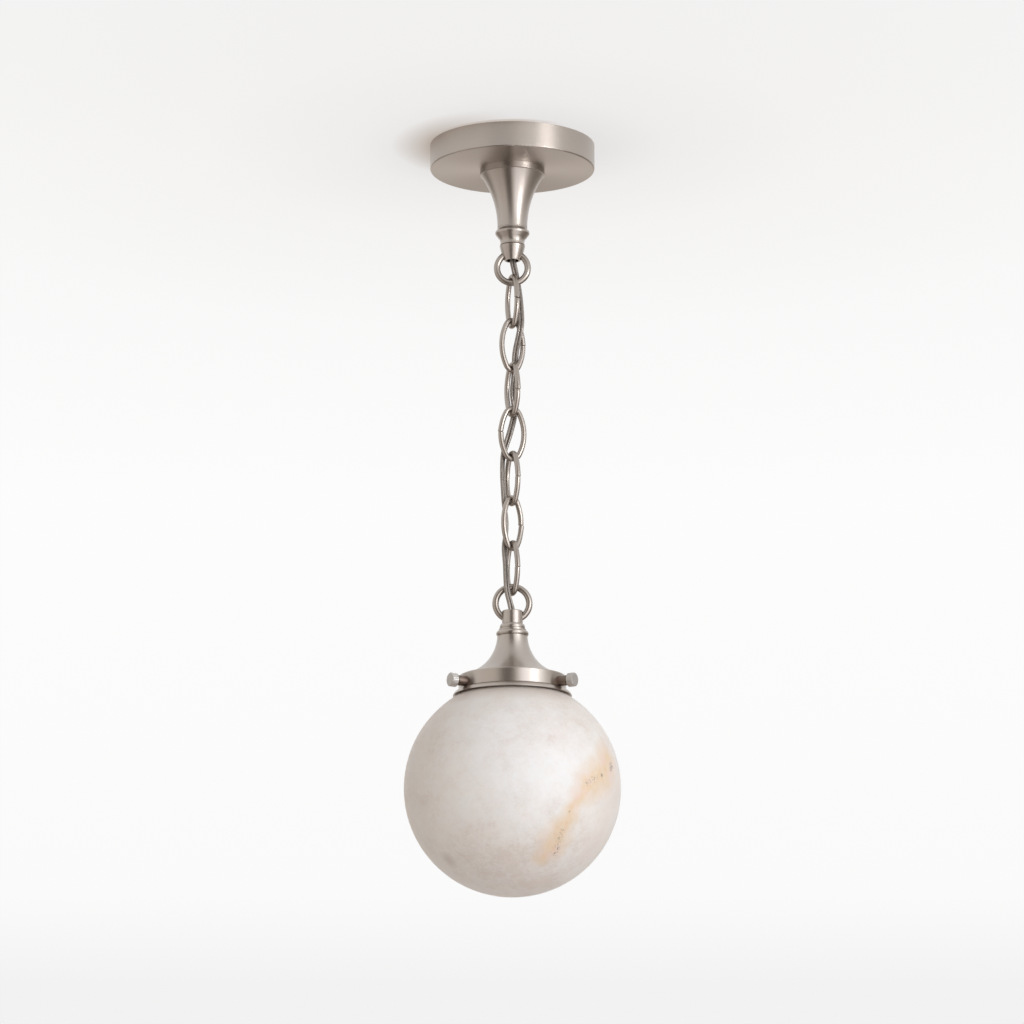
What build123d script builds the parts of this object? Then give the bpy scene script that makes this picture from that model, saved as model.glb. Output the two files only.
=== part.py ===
from build123d import *
import math
import os

# Alabaster globe pendant light, in millimetres.
# +Z is up, the front is -Y, and the origin is the middle of the ceiling plane.

# General clearances
thread_gap = 0.05
contact_gap = 0.3
ring_contact_gap = 0.45
swing_gap = 0.35

# Crossbar that screws to the ceiling box
bar_width = 15.0
bar_thickness = 2.0
bar_drop = 7.0
bar_centre_half = 21.0
bar_ramp = 7.0
slot_spacing = 88.9
slot_length = 12.0
slot_radius = 2.4
bar_end_margin = 3.55
bar_half_length = slot_spacing / 2 + slot_length / 2 + bar_end_margin

# Threaded tubes
nipple_radius = 5.1
nipple_bore_radius = 3.75
nipple_above_bar = 2.6
hex_nut_radius = 8.1
lock_nut_height = 3.2
washer_radius = 10.0
gallery_washer_radius = 12.0
washer_thickness = 0.8

# Ground screw in the crossbar
ground_screw_x = -15.0
ground_head_radius = 4.0
ground_head_height = 2.2
ground_shank_radius = 2.1
ground_shank_length = 5.0

# Ceiling pan
canopy_radius = 63.5
canopy_height = 19.5
canopy_wall = 1.2
canopy_hole_gap = 0.4
canopy_edge_round = 1.0

# Trumpet stem under the pan
stem_lip_radius = 24.9
stem_lip_height = 4.5
stem_length = 46.7
stem_lip_overhang = 0.8
stem_shoulder_radius = stem_lip_radius - stem_lip_overhang
stem_middle_radius = 15.2
stem_middle_drop = 23.0
stem_neck_radius = 11.5
stem_wall = 1.2

# Turned bead under the stem: a hollow flare, a rounded rim and a taper
bead_length = 7.8
bead_top_radius = 11.3
bead_flare_hollow = 0.45
bead_rim_drop = 2.7
bead_rim_height = 2.7
bead_rim_radius = 12.75
bead_radius = 13.2
bead_end_radius = 10.95
bead_spigot_length = 1.5
bead_spigot_gap = 0.1

# Upper loop holder: coved neck and hollow nose
cove_length = 5.8
cove_top_radius = 10.8
cove_radius = 9.35
cove_low_radius = 9.5
cove_groove_depth = 0.7
cove_groove_width = 0.9
nose_radius = 9.8
nose_middle_radius = 8.3
nose_bearing_wall = 1.0
nipple_in_cove = 1.2
nose_end_radius = 6.2
nose_length = 11.4
holder_wall = 1.3

# Rings and chain links
ring_wire_radius = 2.5
upper_ring_radius = 11.8
upper_ring_below_nose = 6.0
lower_ring_radius = 12.75
link_wire_radius = 2.05
link_inner_length = 35.25
link_half_width = 8.95
link_end_radius = 5.5
link_azimuths = [-66.0, 26.0, -62.0, 12.0, -62.0, 43.0, -64.0]
ring_swing = 12.0

# Lower loop holder, collar and bell
stub_radius = 7.95
stub_bore_radius = 6.45
stub_edge_round = 1.0
stub_over_ring_centre = 5.7
stub_length = 10.4
small_bead_bulge = 1.65
small_bead_radius = stub_radius + small_bead_bulge
small_bead_length = 3.9
small_bead_top_step = 0.6
small_bead_foot_step = 1.2
stub_bearing_wall = 0.7
stub_floor_drop = 2.2
collar_length = 6.1
collar_neck_radius = 10.35
collar_neck_height = 1.5
collar_radius = 12.3
collar_end_radius = 11.1
collar_foot_height = 0.6
bell_height = 30.4
bell_top_radius = 11.5
bell_waist_radius = 14.7
bell_waist_drop = 11.8
bell_flare_rise = 7.2
bell_flare_drop = bell_height - bell_flare_rise
bell_flare_inset = 15.3
bell_skirt_rise = 3.6
bell_skirt_drop = bell_height - bell_skirt_rise
bell_skirt_inset = 9.7
bell_rim_inset = 1.45
bell_wall = 1.2
bell_web = 2.0

# Gallery that holds the globe by its neck
gallery_radius = 40.65
gallery_wall = 1.2
gallery_edge_round = 1.0
gallery_lip_flare = 4.25
gallery_lip_radius = gallery_radius + gallery_lip_flare
gallery_lip_height = 4.1
gallery_groove_depth = 0.5
gallery_groove_height = 0.4
lip_shoulder_out = 2.7
lip_shoulder_drop = 1.6
lip_edge_width = 2.4
lip_inner_out = 0.6
lip_inner_drop = 2.2
lip_root_drop = 1.2
gasket_thickness = 1.8
bell_rim_radius = gallery_radius - bell_rim_inset
bell_flare_radius = bell_rim_radius - bell_flare_inset
bell_skirt_radius = bell_rim_radius - bell_skirt_inset

# Thumb screws
screw_count = 3
screw_first_azimuth = -30.0
screw_drop = 7.2
band_below_screw = 3.6
gallery_band_height = screw_drop + band_below_screw
screw_radius = 2.08
screw_side_gap = 0.06
screw_hole_radius = screw_radius + screw_side_gap
boss_radius = 3.9
boss_length = 7.0
boss_root = 1.0
thumb_head_radius = 5.25
thumb_head_length = 5.2
thumb_head_edge = 0.5
thumb_neck_length = 1.4
knurl_count = 24
knurl_radius = 0.3
tip_radius = 1.6
tip_length = 1.25
tip_seat_radius = 2.0
tip_seat_depth = 0.8
tip_gap = 0.15

# Alabaster globe
globe_radius = 81.5
globe_wall = 7.6
neck_side_gap = 0.85
neck_radius = gallery_radius - gallery_wall - neck_side_gap
neck_bore_radius = neck_radius - globe_wall
lip_below_neck_root = 1.38
neck_root_drop = gallery_band_height + gallery_lip_height - gallery_wall - lip_below_neck_root
globe_below_gallery = neck_root_drop + math.sqrt(globe_radius**2 - neck_radius**2)

# Socket
bracket_width = 12.0
bracket_half_depth = 9.0
bracket_sheet = 1.5
bracket_height = 11.5
bracket_foot = 5.5
head_nipple_tail = 2.5
socket_radius = 19.5
socket_top_radius = 17.0
socket_top_height = 5.0
socket_cavity_depth = 29.5
socket_floor = 4.5
socket_length = socket_cavity_depth + socket_floor
shell_wall = 0.8
shell_length = 24.0
terminal_x = 12.5
terminal_head_radius = 2.6
terminal_head_height = 1.4
mount_screw_radius = 1.5
mount_screw_inset = 2.35
mount_screw_head_radius = 2.4
mount_screw_head_height = 1.3
mount_screw_length = bracket_sheet + socket_floor
socket_contact_radius = 5.0
socket_contact_thickness = 0.8

# Bulb
bulb_base_radius = 13.1
bulb_side_gap = 0.5
socket_cavity_radius = bulb_base_radius + bulb_side_gap + shell_wall
bulb_base_wall = 0.5
bulb_base_length = 24.0
bulb_thread_depth = 0.5
bulb_thread_pitch = 3.6
bulb_thread_drop = 2.4
bulb_cap_wall = 1.0
bulb_cap_slope = 2.2
bulb_contact_radius = 4.2
bulb_contact_height = 1.6
bulb_insulator_height = 2.6
bulb_insulator_radius = 9.0
bulb_length = 89.0
bulb_radius = 24.0
bulb_shoulder_radius = 17.0
bulb_shoulder_rise = 21.5
bulb_neck_inset = 0.7
bulb_neck_radius = bulb_base_radius - bulb_neck_inset
bulb_glass_wall = 0.8
bulb_stem_radius = 4.0
bulb_stem_length = 32.0
bulb_stem_gap = 0.6
bulb_stem_flare_radius = bulb_neck_radius - bulb_glass_wall - bulb_stem_gap

# Flat twin cord
cord_strand_radius = 1.3
cord_strand_offset = 1.2
lead_radius = 1.0

os.makedirs("parts", exist_ok=True)


def finish(piece, name):
    """Label one finished sub-part and write it."""
    piece.part.label = name
    export_step(piece.part, f"parts/{name}.step")


def spun(outline):
    """Turn a closed outline of radius and height points about the lamp's axis."""
    with BuildPart() as turned:
        with BuildSketch(Plane.XZ):
            with BuildLine():
                Polyline(*outline, close=True)
            make_face()
        revolve(axis=Axis.Z)
    return turned


def tube_route(points, middle_share=0.45):
    """Straight runs joined by tangent arcs, each arc as large as its two runs allow."""
    corners = [Vector(*point) for point in points]
    radii = []
    for before, here, after in zip(corners[:-2], corners[1:-1], corners[2:]):
        turn = math.radians((here - before).get_angle(after - here))
        shorter = min((here - before).length, (after - here).length)
        radii.append(middle_share * shorter / math.tan(turn / 2))
    return corners, radii


# Crossbar
bar_centre_top = -bar_drop
bar_ramp_end = bar_centre_half + bar_ramp
# The strap keeps its thickness down the ramps.
ramp_angle = math.atan2(bar_drop, bar_ramp)
ramp_shift = bar_thickness * math.tan(ramp_angle / 2)
bar_half = [
    (0, bar_centre_top),
    (bar_centre_half, bar_centre_top),
    (bar_ramp_end, 0),
    (bar_half_length, 0),
    (bar_half_length, -bar_thickness),
    (bar_ramp_end + ramp_shift, -bar_thickness),
    (bar_centre_half + ramp_shift, bar_centre_top - bar_thickness),
    (0, bar_centre_top - bar_thickness),
]
with BuildPart() as crossbar:
    with BuildSketch(Plane.XZ):
        with BuildLine():
            Polyline(*bar_half, close=True)
        make_face()
        mirror(about=Plane.YZ)
    extrude(amount=bar_width / 2, both=True)
    with BuildSketch(Plane.XY):
        with Locations((-slot_spacing / 2, 0), (slot_spacing / 2, 0)):
            SlotOverall(slot_length, 2 * slot_radius)
    extrude(amount=-bar_thickness, mode=Mode.SUBTRACT)
    with Locations((0, 0, bar_centre_top)):
        Hole(nipple_radius + thread_gap, depth=bar_thickness)
    with Locations((ground_screw_x, 0, bar_centre_top)):
        Hole(ground_shank_radius + thread_gap, depth=bar_thickness)
    ends = crossbar.edges().filter_by(Axis.Z).filter_by(lambda e: abs(e.center().X) > bar_ramp_end)
    fillet(ends.filter_by(GeomType.LINE).filter_by(lambda e: abs(e.center().Y) > bar_width / 2 - 1), 3.0)
finish(crossbar, "crossbar")

# Ground screw, its head on the strap
with BuildPart() as ground_screw:
    with BuildSketch(Plane.XY.offset(bar_centre_top)):
        with Locations((ground_screw_x, 0)):
            Circle(ground_head_radius)
    extrude(amount=ground_head_height)
    chamfer(ground_screw.edges().group_by(Axis.Z)[-1], 0.6)
    with BuildSketch(Plane.XY.offset(bar_centre_top)):
        with Locations((ground_screw_x, 0)):
            Circle(ground_shank_radius)
    extrude(amount=-ground_shank_length)
    with BuildSketch(Plane.XY.offset(bar_centre_top + ground_head_height)):
        with Locations((ground_screw_x, 0)):
            Rectangle(2 * ground_head_radius, 1.0)
    extrude(amount=-0.9, mode=Mode.SUBTRACT)
finish(ground_screw, "ground_screw")

# Threaded tube that carries the lamp
canopy_bottom = -canopy_height
stem_bottom = canopy_bottom - stem_length
bead_bottom = stem_bottom - bead_length
cove_bottom = bead_bottom - cove_length
nipple_top = bar_centre_top + nipple_above_bar
nipple_bottom = cove_bottom + nipple_in_cove
with BuildPart() as canopy_nipple:
    with BuildSketch(Plane.XY.offset(nipple_bottom)):
        Circle(nipple_radius)
        Circle(nipple_bore_radius, mode=Mode.SUBTRACT)
    extrude(amount=nipple_top - nipple_bottom)
finish(canopy_nipple, "canopy_nipple")

# Washer and nut that lock the tube under the strap
washer_top = bar_centre_top - bar_thickness
with BuildPart() as canopy_lock_washer:
    with BuildSketch(Plane.XY.offset(washer_top - washer_thickness)):
        Circle(washer_radius)
        Circle(nipple_radius + thread_gap, mode=Mode.SUBTRACT)
    extrude(amount=washer_thickness)
finish(canopy_lock_washer, "canopy_lock_washer")

with BuildPart() as canopy_lock_nut:
    with BuildSketch(Plane.XY.offset(washer_top - washer_thickness - lock_nut_height)):
        RegularPolygon(hex_nut_radius, 6)
        Circle(nipple_radius + thread_gap, mode=Mode.SUBTRACT)
    extrude(amount=lock_nut_height)
finish(canopy_lock_nut, "canopy_lock_nut")

# Ceiling pan
with BuildPart() as canopy:
    with BuildSketch(Plane.XY.offset(canopy_bottom)):
        Circle(canopy_radius)
    extrude(amount=canopy_height)
    fillet(canopy.edges().group_by(Axis.Z)[0], canopy_edge_round)
    with BuildSketch(Plane.XY.offset(canopy_bottom + canopy_wall)):
        Circle(canopy_radius - canopy_wall)
    extrude(amount=canopy_height - canopy_wall, mode=Mode.SUBTRACT)
    with Locations((0, 0, canopy_bottom + canopy_wall)):
        Hole(nipple_radius + canopy_hole_gap, depth=canopy_wall)
finish(canopy, "canopy")

# Trumpet stem, hollow, with an upright lip
lip_bottom = canopy_bottom - stem_lip_height
stem_middle_z = canopy_bottom - stem_middle_drop
with BuildPart() as trumpet_stem:
    with BuildSketch(Plane.XZ):
        with BuildLine():
            Line((0, canopy_bottom), (stem_lip_radius, canopy_bottom))
            Line((stem_lip_radius, canopy_bottom), (stem_lip_radius, lip_bottom))
            Line((stem_lip_radius, lip_bottom), (stem_shoulder_radius, lip_bottom - 0.4))
            ThreePointArc(
                (stem_shoulder_radius, lip_bottom - 0.4),
                (stem_middle_radius, stem_middle_z),
                (stem_neck_radius, stem_bottom),
            )
            Line((stem_neck_radius, stem_bottom), (0, stem_bottom))
            Line((0, stem_bottom), (0, canopy_bottom))
        make_face()
    revolve(axis=Axis.Z)
    with BuildSketch(Plane.XZ):
        with BuildLine():
            Line((0, canopy_bottom), (stem_shoulder_radius - stem_wall, canopy_bottom))
            Line(
                (stem_shoulder_radius - stem_wall, canopy_bottom),
                (stem_shoulder_radius - stem_wall, lip_bottom),
            )
            ThreePointArc(
                (stem_shoulder_radius - stem_wall, lip_bottom),
                (stem_middle_radius - stem_wall, stem_middle_z + 0.4),
                (stem_neck_radius - stem_wall, stem_bottom),
            )
            Line((stem_neck_radius - stem_wall, stem_bottom), (0, stem_bottom))
            Line((0, stem_bottom), (0, canopy_bottom))
        make_face()
    revolve(axis=Axis.Z, mode=Mode.SUBTRACT)
finish(trumpet_stem, "trumpet_stem")

# Turned bead, with a spigot up inside the stem
spigot_radius = stem_neck_radius - stem_wall - bead_spigot_gap
bead_flare_radius = (bead_top_radius + bead_rim_radius) / 2 - bead_flare_hollow
bead_rim_top = stem_bottom - bead_rim_drop
bead_rim_bottom = bead_rim_top - bead_rim_height
with BuildPart() as stem_bead:
    with BuildSketch(Plane.XZ):
        with BuildLine():
            Line((0, stem_bottom), (bead_top_radius, stem_bottom))
            ThreePointArc(
                (bead_top_radius, stem_bottom),
                (bead_flare_radius, stem_bottom - bead_rim_drop / 2),
                (bead_rim_radius, bead_rim_top),
            )
            ThreePointArc(
                (bead_rim_radius, bead_rim_top),
                (bead_radius, bead_rim_top - bead_rim_height / 2),
                (bead_rim_radius, bead_rim_bottom),
            )
            Line((bead_rim_radius, bead_rim_bottom), (bead_end_radius, bead_bottom))
            Line((bead_end_radius, bead_bottom), (0, bead_bottom))
            Line((0, bead_bottom), (0, stem_bottom))
        make_face()
    revolve(axis=Axis.Z)
    with BuildSketch(Plane.XY.offset(stem_bottom)):
        Circle(spigot_radius)
    extrude(amount=bead_spigot_length)
    with Locations((0, 0, stem_bottom + bead_spigot_length)):
        Hole(nipple_radius + thread_gap, depth=bead_length + bead_spigot_length)
finish(stem_bead, "stem_bead")


def ring_plane(centre_z, pivot_z, tilt):
    """Plane of a ring that has swung by tilt degrees about the X axis at the pivot's height."""
    arm = centre_z - pivot_z
    angle = math.radians(tilt)
    return Plane(
        origin=(0, -arm * math.sin(angle), pivot_z + arm * math.cos(angle)),
        x_dir=(1, 0, 0),
        z_dir=(0, -math.cos(angle), -math.sin(angle)),
    )


# Upper loop holder: the ring goes through two holes in its hollow nose
nose_top = cove_bottom - cove_groove_width
hollow_top_radius = cove_low_radius - holder_wall - 1.0
nose_bottom = nose_top - nose_length
upper_ring_z = nose_bottom - upper_ring_below_nose
nose_bearing_radius = nose_end_radius + nose_bearing_wall
upper_pivot_z = upper_ring_z + math.sqrt(upper_ring_radius**2 - nose_bearing_radius**2)
with BuildPart() as upper_loop_holder:
    with BuildSketch(Plane.XZ):
        with BuildLine():
            Line((0, bead_bottom), (cove_top_radius, bead_bottom))
            ThreePointArc(
                (cove_top_radius, bead_bottom),
                (cove_radius, bead_bottom - cove_length / 2),
                (cove_low_radius, cove_bottom),
            )
            Line((cove_low_radius, cove_bottom), (cove_low_radius - cove_groove_depth, cove_bottom - 0.3))
            Line((cove_low_radius - cove_groove_depth, cove_bottom - 0.3), (nose_radius, nose_top))
            ThreePointArc(
                (nose_radius, nose_top),
                (nose_middle_radius, nose_top - nose_length / 2),
                (nose_end_radius, nose_bottom),
            )
            Line((nose_end_radius, nose_bottom), (0, nose_bottom))
            Line((0, nose_bottom), (0, bead_bottom))
        make_face()
    revolve(axis=Axis.Z)
    with BuildSketch(Plane.XZ):
        with BuildLine():
            Line((0, cove_bottom), (hollow_top_radius, cove_bottom))
            Line((hollow_top_radius, cove_bottom), (nose_radius - holder_wall, nose_top - 1.0))
            ThreePointArc(
                (nose_radius - holder_wall, nose_top - 1.0),
                (nose_middle_radius - holder_wall, nose_top - nose_length / 2),
                (nose_end_radius - holder_wall, nose_bottom),
            )
            Line((nose_end_radius - holder_wall, nose_bottom), (0, nose_bottom))
            Line((0, nose_bottom), (0, cove_bottom))
        make_face()
    revolve(axis=Axis.Z, mode=Mode.SUBTRACT)
    with Locations((0, 0, bead_bottom)):
        Hole(nipple_radius + thread_gap, depth=cove_length)
    for tilt in (-ring_swing, 0, ring_swing):
        with Locations(ring_plane(upper_ring_z, upper_pivot_z, tilt)):
            Torus(upper_ring_radius, ring_wire_radius + swing_gap, mode=Mode.SUBTRACT)
finish(upper_loop_holder, "upper_loop_holder")


def wire_ring(mean_radius, centre_z):
    """A closed wire ring that faces the front."""
    with BuildPart() as ring:
        with Locations(ring_plane(centre_z, centre_z, 0)):
            Torus(mean_radius, ring_wire_radius)
    return ring


finish(wire_ring(upper_ring_radius, upper_ring_z), "upper_ring")

# Chain: each link's wire is an oval of two end arcs and two side arcs
link_mean_length = link_inner_length + 2 * link_wire_radius
link_pitch = link_mean_length - 2 * link_wire_radius - contact_gap
link_count = len(link_azimuths)
first_wire_z = upper_ring_z - upper_ring_radius + ring_wire_radius + link_wire_radius + ring_contact_gap
first_link_z = first_wire_z - link_mean_length / 2
last_link_z = first_link_z - (link_count - 1) * link_pitch
end_centre = link_mean_length / 2 - link_end_radius
side_radius = (end_centre**2 + link_half_width**2 - link_end_radius**2) / (
    2 * (link_half_width - link_end_radius)
)
side_centre = side_radius - link_half_width
side_half_angle = math.degrees(math.atan2(end_centre, side_centre))


def chain_link(centre_z, azimuth):
    """One oval link, its wide way along the given azimuth from +X."""
    angle = math.radians(azimuth)
    link_plane = Plane(
        origin=(0, 0, centre_z),
        x_dir=(math.cos(angle), math.sin(angle), 0),
        z_dir=(math.sin(angle), -math.cos(angle), 0),
    )
    with BuildPart() as link:
        with BuildLine(link_plane) as wire:
            CenterArc((-side_centre, 0), side_radius, -side_half_angle, 2 * side_half_angle)
            CenterArc((0, end_centre), link_end_radius, side_half_angle, 180 - 2 * side_half_angle)
            CenterArc((side_centre, 0), side_radius, 180 - side_half_angle, 2 * side_half_angle)
            CenterArc((0, -end_centre), link_end_radius, 180 + side_half_angle, 180 - 2 * side_half_angle)
        with BuildSketch(Plane(origin=wire.line @ 0, z_dir=wire.line % 0)):
            Circle(link_wire_radius)
        sweep(path=wire.line)
    return link


for number, azimuth in enumerate(link_azimuths):
    finish(chain_link(first_link_z - number * link_pitch, azimuth), f"chain_link_{number + 1}")

last_wire_z = last_link_z - link_mean_length / 2
lower_ring_z = last_wire_z + link_wire_radius + ring_contact_gap + ring_wire_radius - lower_ring_radius
finish(wire_ring(lower_ring_radius, lower_ring_z), "lower_ring")

# Lower loop holder: hollow stub over a small bead
stub_top = lower_ring_z - stub_over_ring_centre
stub_bottom = stub_top - stub_length
holder_bottom = stub_bottom - small_bead_length
lower_pivot_z = lower_ring_z - math.sqrt(lower_ring_radius**2 - (stub_radius - stub_bearing_wall) ** 2)
stub_floor = stub_bottom - stub_floor_drop
head_nipple_top = stub_floor
with BuildPart() as lower_loop_holder:
    with BuildSketch(Plane.XY.offset(stub_bottom)):
        Circle(stub_radius)
    extrude(amount=stub_length)
    fillet(lower_loop_holder.edges().group_by(Axis.Z)[-1], stub_edge_round)
    with BuildSketch(Plane.XZ):
        with BuildLine():
            Line((0, stub_bottom), (stub_radius + small_bead_top_step, stub_bottom))
            ThreePointArc(
                (stub_radius + small_bead_top_step, stub_bottom),
                (small_bead_radius, stub_bottom - small_bead_length / 2),
                (stub_radius + small_bead_foot_step, holder_bottom),
            )
            Line((stub_radius + small_bead_foot_step, holder_bottom), (0, holder_bottom))
            Line((0, holder_bottom), (0, stub_bottom))
        make_face()
    revolve(axis=Axis.Z)
    with Locations((0, 0, stub_top)):
        Hole(stub_bore_radius, depth=stub_top - stub_floor)
    with Locations((0, 0, stub_bottom)):
        Hole(nipple_radius + thread_gap, depth=small_bead_length)
    for tilt in (-ring_swing, 0, ring_swing):
        with Locations(ring_plane(lower_ring_z, lower_pivot_z, tilt)):
            Torus(lower_ring_radius, ring_wire_radius + swing_gap, mode=Mode.SUBTRACT)
finish(lower_loop_holder, "lower_loop_holder")

# Collar on top of the bell: a plain neck over a rounded ridge
collar_bottom = holder_bottom - collar_length
collar_ridge_top = holder_bottom - collar_neck_height
collar_ridge_bottom = collar_bottom + collar_foot_height
with BuildPart() as head_collar:
    with BuildSketch(Plane.XZ):
        with BuildLine():
            Line((0, holder_bottom), (collar_neck_radius, holder_bottom))
            Line((collar_neck_radius, holder_bottom), (collar_neck_radius, collar_ridge_top))
            Line((collar_neck_radius, collar_ridge_top), (collar_end_radius, collar_ridge_top))
            ThreePointArc(
                (collar_end_radius, collar_ridge_top),
                (collar_radius, (collar_ridge_top + collar_ridge_bottom) / 2),
                (collar_end_radius, collar_ridge_bottom),
            )
            Line((collar_end_radius, collar_ridge_bottom), (collar_end_radius, collar_bottom))
            Line((collar_end_radius, collar_bottom), (0, collar_bottom))
            Line((0, collar_bottom), (0, holder_bottom))
        make_face()
    revolve(axis=Axis.Z)
    with Locations((0, 0, holder_bottom)):
        Hole(nipple_radius + thread_gap, depth=collar_length)
finish(head_collar, "head_collar")

# Bell cover, a thin flared shell with a web at its top
bell_bottom = collar_bottom - bell_height
bell_waist_z = collar_bottom - bell_waist_drop
bell_flare_z = collar_bottom - bell_flare_drop
bell_skirt_z = collar_bottom - bell_skirt_drop
with BuildPart() as bell_cover:
    with BuildSketch(Plane.XZ):
        with BuildLine():
            Line((0, collar_bottom), (bell_top_radius, collar_bottom))
            ThreePointArc(
                (bell_top_radius, collar_bottom),
                (bell_waist_radius, bell_waist_z),
                (bell_flare_radius, bell_flare_z),
            )
            ThreePointArc(
                (bell_flare_radius, bell_flare_z),
                (bell_skirt_radius, bell_skirt_z),
                (bell_rim_radius, bell_bottom),
            )
            Line((bell_rim_radius, bell_bottom), (0, bell_bottom))
            Line((0, bell_bottom), (0, collar_bottom))
        make_face()
    revolve(axis=Axis.Z)
    with BuildSketch(Plane.XZ):
        with BuildLine():
            Line((0, collar_bottom - bell_web), (bell_top_radius - bell_wall, collar_bottom - bell_web))
            ThreePointArc(
                (bell_top_radius - bell_wall, collar_bottom - bell_web),
                (bell_waist_radius - bell_wall, bell_waist_z - 0.4),
                (bell_flare_radius - bell_wall, bell_flare_z - 0.8),
            )
            ThreePointArc(
                (bell_flare_radius - bell_wall, bell_flare_z - 0.8),
                (bell_skirt_radius - bell_wall, bell_skirt_z - 0.9),
                (bell_rim_radius - 2 * bell_wall, bell_bottom),
            )
            Line((bell_rim_radius - 2 * bell_wall, bell_bottom), (0, bell_bottom))
            Line((0, bell_bottom), (0, collar_bottom - bell_web))
        make_face()
    revolve(axis=Axis.Z, mode=Mode.SUBTRACT)
    with Locations((0, 0, collar_bottom)):
        Hole(nipple_radius + thread_gap, depth=bell_web)
finish(bell_cover, "bell_cover")

# Gallery: a plate, a band and a flared lip
gallery_top = bell_bottom
plate_bottom = gallery_top - gallery_wall
band_bottom = gallery_top - gallery_band_height
lip_bottom_z = band_bottom - gallery_lip_height
band_inner_radius = gallery_radius - gallery_wall
groove_radius = gallery_radius - gallery_groove_depth
groove_bottom = band_bottom - gallery_groove_height
screw_z = gallery_top - screw_drop
with BuildPart() as gallery:
    with BuildSketch(Plane.XZ):
        with BuildLine():
            Line((0, gallery_top), (gallery_radius - gallery_edge_round, gallery_top))
            RadiusArc(
                (gallery_radius - gallery_edge_round, gallery_top),
                (gallery_radius, gallery_top - gallery_edge_round),
                gallery_edge_round,
            )
            Line((gallery_radius, gallery_top - gallery_edge_round), (gallery_radius, band_bottom))
            Line((gallery_radius, band_bottom), (groove_radius, groove_bottom))
            ThreePointArc(
                (groove_radius, groove_bottom),
                (gallery_radius + lip_shoulder_out, band_bottom - lip_shoulder_drop),
                (gallery_lip_radius, lip_bottom_z),
            )
            Line((gallery_lip_radius, lip_bottom_z), (gallery_lip_radius - lip_edge_width, lip_bottom_z))
            ThreePointArc(
                (gallery_lip_radius - lip_edge_width, lip_bottom_z),
                (gallery_radius + lip_inner_out, band_bottom - lip_inner_drop),
                (band_inner_radius, band_bottom - lip_root_drop),
            )
            Line((band_inner_radius, band_bottom - lip_root_drop), (band_inner_radius, plate_bottom))
            Line((band_inner_radius, plate_bottom), (0, plate_bottom))
            Line((0, plate_bottom), (0, gallery_top))
        make_face()
    revolve(axis=Axis.Z)
    with Locations((0, 0, gallery_top)):
        Hole(nipple_radius + thread_gap, depth=gallery_wall)
    with Locations((0, 0, screw_z)):
        with PolarLocations(0, screw_count, start_angle=screw_first_azimuth):
            with Locations(Location((gallery_radius, 0, 0), (0, 90, 0))):
                Cylinder(screw_hole_radius, 8 * gallery_wall, mode=Mode.SUBTRACT)
finish(gallery, "gallery")

# Threaded bosses on the band, one for each thumb screw
with BuildPart() as gallery_bosses:
    with Locations((0, 0, screw_z)):
        with PolarLocations(0, screw_count, start_angle=screw_first_azimuth):
            with Locations(Location((gallery_radius - boss_root, 0, 0), (0, 90, 0))):
                boss_span = boss_length + boss_root
                Cylinder(boss_radius, boss_span, align=(Align.CENTER, Align.CENTER, Align.MIN))
                Cylinder(screw_hole_radius, 4 * boss_span, mode=Mode.SUBTRACT)
    with Locations((0, 0, screw_z)):
        Cylinder(gallery_radius, 4 * boss_radius, mode=Mode.SUBTRACT)
finish(gallery_bosses, "gallery_bosses")

# Thumb screws and their soft tips
seat_bottom_radius = neck_radius - tip_seat_depth
tip_start = seat_bottom_radius + tip_gap
shank_start = tip_start + tip_length
head_start = gallery_radius + boss_length + thumb_neck_length
head_end = head_start + thumb_head_length
knurl_pitch_radius = thumb_head_radius + 0.05


def screw_axis_plane(azimuth, distance):
    """Plane square to a thumb screw's axis, at a distance from the lamp's axis."""
    angle = math.radians(azimuth)
    return Plane(
        origin=(distance * math.cos(angle), distance * math.sin(angle), screw_z),
        x_dir=(0, 0, 1),
        z_dir=(math.cos(angle), math.sin(angle), 0),
    )


for number in range(screw_count):
    screw_azimuth = screw_first_azimuth + number * 360 / screw_count
    with BuildPart() as thumb_screw:
        with BuildSketch(screw_axis_plane(screw_azimuth, shank_start)):
            Circle(screw_radius)
        extrude(amount=head_start - shank_start)
        with BuildSketch(screw_axis_plane(screw_azimuth, head_start)):
            Circle(thumb_head_radius)
            with PolarLocations(knurl_pitch_radius, knurl_count):
                Circle(knurl_radius, mode=Mode.SUBTRACT)
        extrude(amount=thumb_head_length - thumb_head_edge)
        with BuildSketch(screw_axis_plane(screw_azimuth, head_end - thumb_head_edge)):
            Circle(thumb_head_radius - knurl_radius)
        extrude(amount=thumb_head_edge, taper=30)
    finish(thumb_screw, f"thumb_screw_{number + 1}")
    with BuildPart() as screw_tip:
        with BuildSketch(screw_axis_plane(screw_azimuth, tip_start)):
            Circle(tip_radius)
        extrude(amount=tip_length)
    finish(screw_tip, f"screw_tip_{number + 1}")

# Threaded tube through the bell and the gallery
gallery_nut_top = plate_bottom - washer_thickness
gallery_nut_bottom = gallery_nut_top - lock_nut_height
bracket_top = gallery_nut_bottom
head_nipple_bottom = bracket_top - bracket_sheet - head_nipple_tail
with BuildPart() as head_nipple:
    with BuildSketch(Plane.XY.offset(head_nipple_bottom)):
        Circle(nipple_radius)
        Circle(nipple_bore_radius, mode=Mode.SUBTRACT)
    extrude(amount=head_nipple_top - head_nipple_bottom)
finish(head_nipple, "head_nipple")

with BuildPart() as gallery_washer:
    with BuildSketch(Plane.XY.offset(gallery_nut_top)):
        Circle(gallery_washer_radius)
        Circle(nipple_radius + thread_gap, mode=Mode.SUBTRACT)
    extrude(amount=washer_thickness)
finish(gallery_washer, "gallery_washer")

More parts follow.
